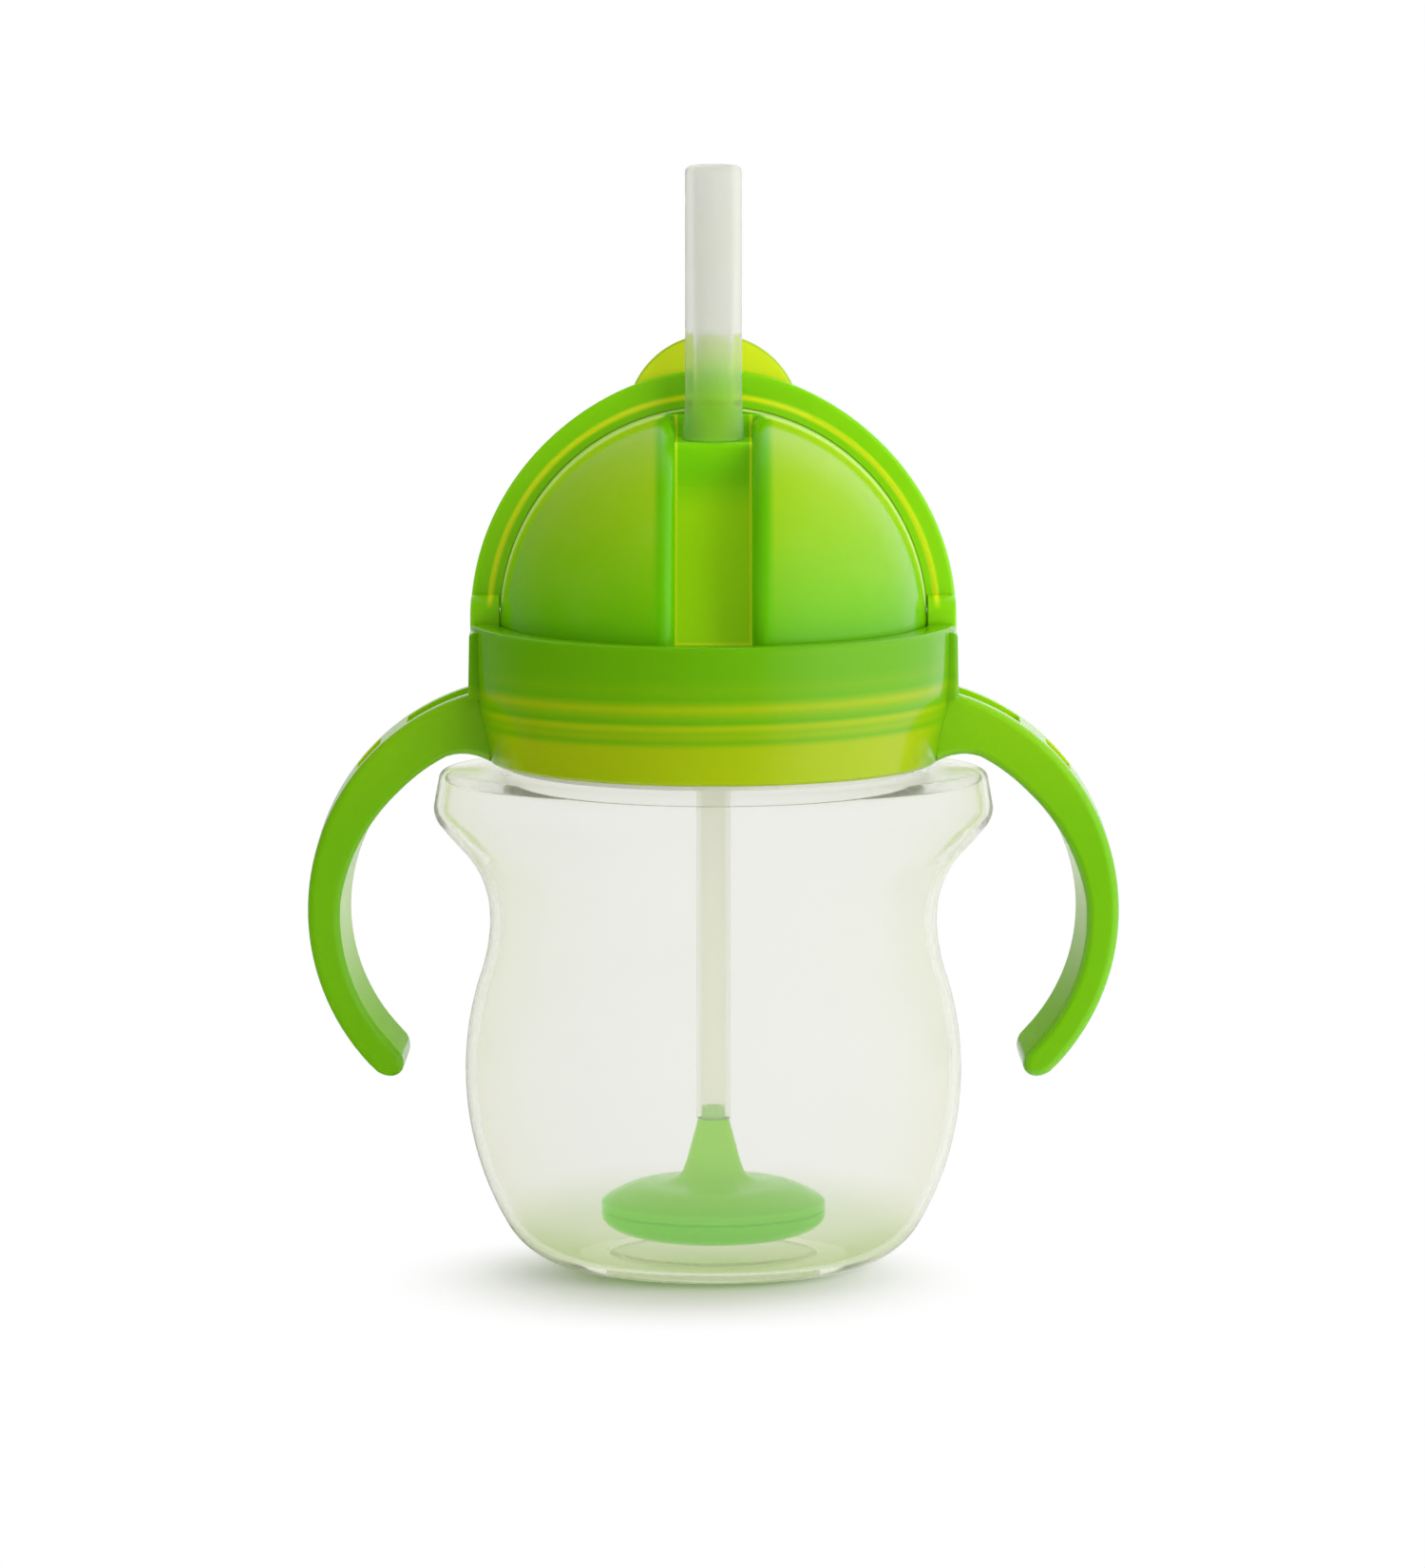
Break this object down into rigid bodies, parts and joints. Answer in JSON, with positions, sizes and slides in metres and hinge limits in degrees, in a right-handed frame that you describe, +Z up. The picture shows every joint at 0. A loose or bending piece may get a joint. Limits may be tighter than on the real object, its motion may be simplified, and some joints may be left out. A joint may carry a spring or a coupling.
{
  "type": "sippy cup",
  "caption": "Trainer cup with a waisted frosted body, a screw lid with open C handles, a turning dome shutter and a folding straw on a weighted drop tube.",
  "frame": {"origin": "middle of the cup's base, on the surface it stands on", "axes": "+Z up along the cup's axis, -Y towards the drinking side with the straw channel, X through the two handles and the shutter's pins"},
  "size_m": [0.1368, 0.084, 0.1865],
  "materials": {
    "frosted_plastic": "frosted, see-through, semi-gloss",
    "green_plastic": "translucent, glossy",
    "milky_silicone": "milky, satin",
    "steel": "plain turned steel"
  },
  "bodies": {
    "cup": {"cup_body": "frosted_plastic"},
    "seal": {"seal_ring": "milky_silicone"},
    "lid": {"lid_collar": "green_plastic", "lid_dome": "green_plastic"},
    "shutter": {"shutter": "green_plastic"},
    "spout": {"spout_straw": "milky_silicone"},
    "tube": {"drop_tube": "milky_silicone"},
    "weight": {"weight_cap": "green_plastic", "weight_base": "green_plastic", "weight_slug": "steel"}
  },
  "joints": [
    {"name": "lid_lift", "type": "slide", "parent": "cup", "child": "seal", "axis": [0, 0, 1], "range_m": [0, 0.0057]},
    {"name": "lid_turn", "type": "hinge", "parent": "seal", "child": "lid", "pos_m": [0, 0, 0.1], "axis": [0, 0, 1], "range_deg": [0, 450]},
    {"name": "shutter_flip", "type": "hinge", "parent": "lid", "child": "shutter", "pos_m": [0, 0, 0.1095], "axis": [1, 0, 0], "range_deg": [0, 90]},
    {"name": "straw_fold", "type": "hinge", "parent": "lid", "child": "spout", "pos_m": [0, -0.009, 0.1435], "axis": [1, 0, 0], "range_deg": [0, 150], "deforming": ["spout_straw"]},
    {"name": "tube_swing", "type": "hinge", "parent": "lid", "child": "tube", "pos_m": [0, -0.0065, 0.1135], "axis": [1, 0, 0], "range_deg": [-2.5, 6], "deforming": ["drop_tube"]},
    {"name": "weight_swing", "type": "hinge", "parent": "tube", "child": "weight", "pos_m": [0, -0.0065, 0.1135], "axis": [0, 1, 0], "range_deg": [-4, 4]}
  ],
  "couplings": [
    {"joint": "lid_lift", "follows": "lid_turn", "m_per_rad": 0.0007162},
    {"joint": "straw_fold", "follows": "shutter_flip", "ratio": 1.6667}
  ]
}
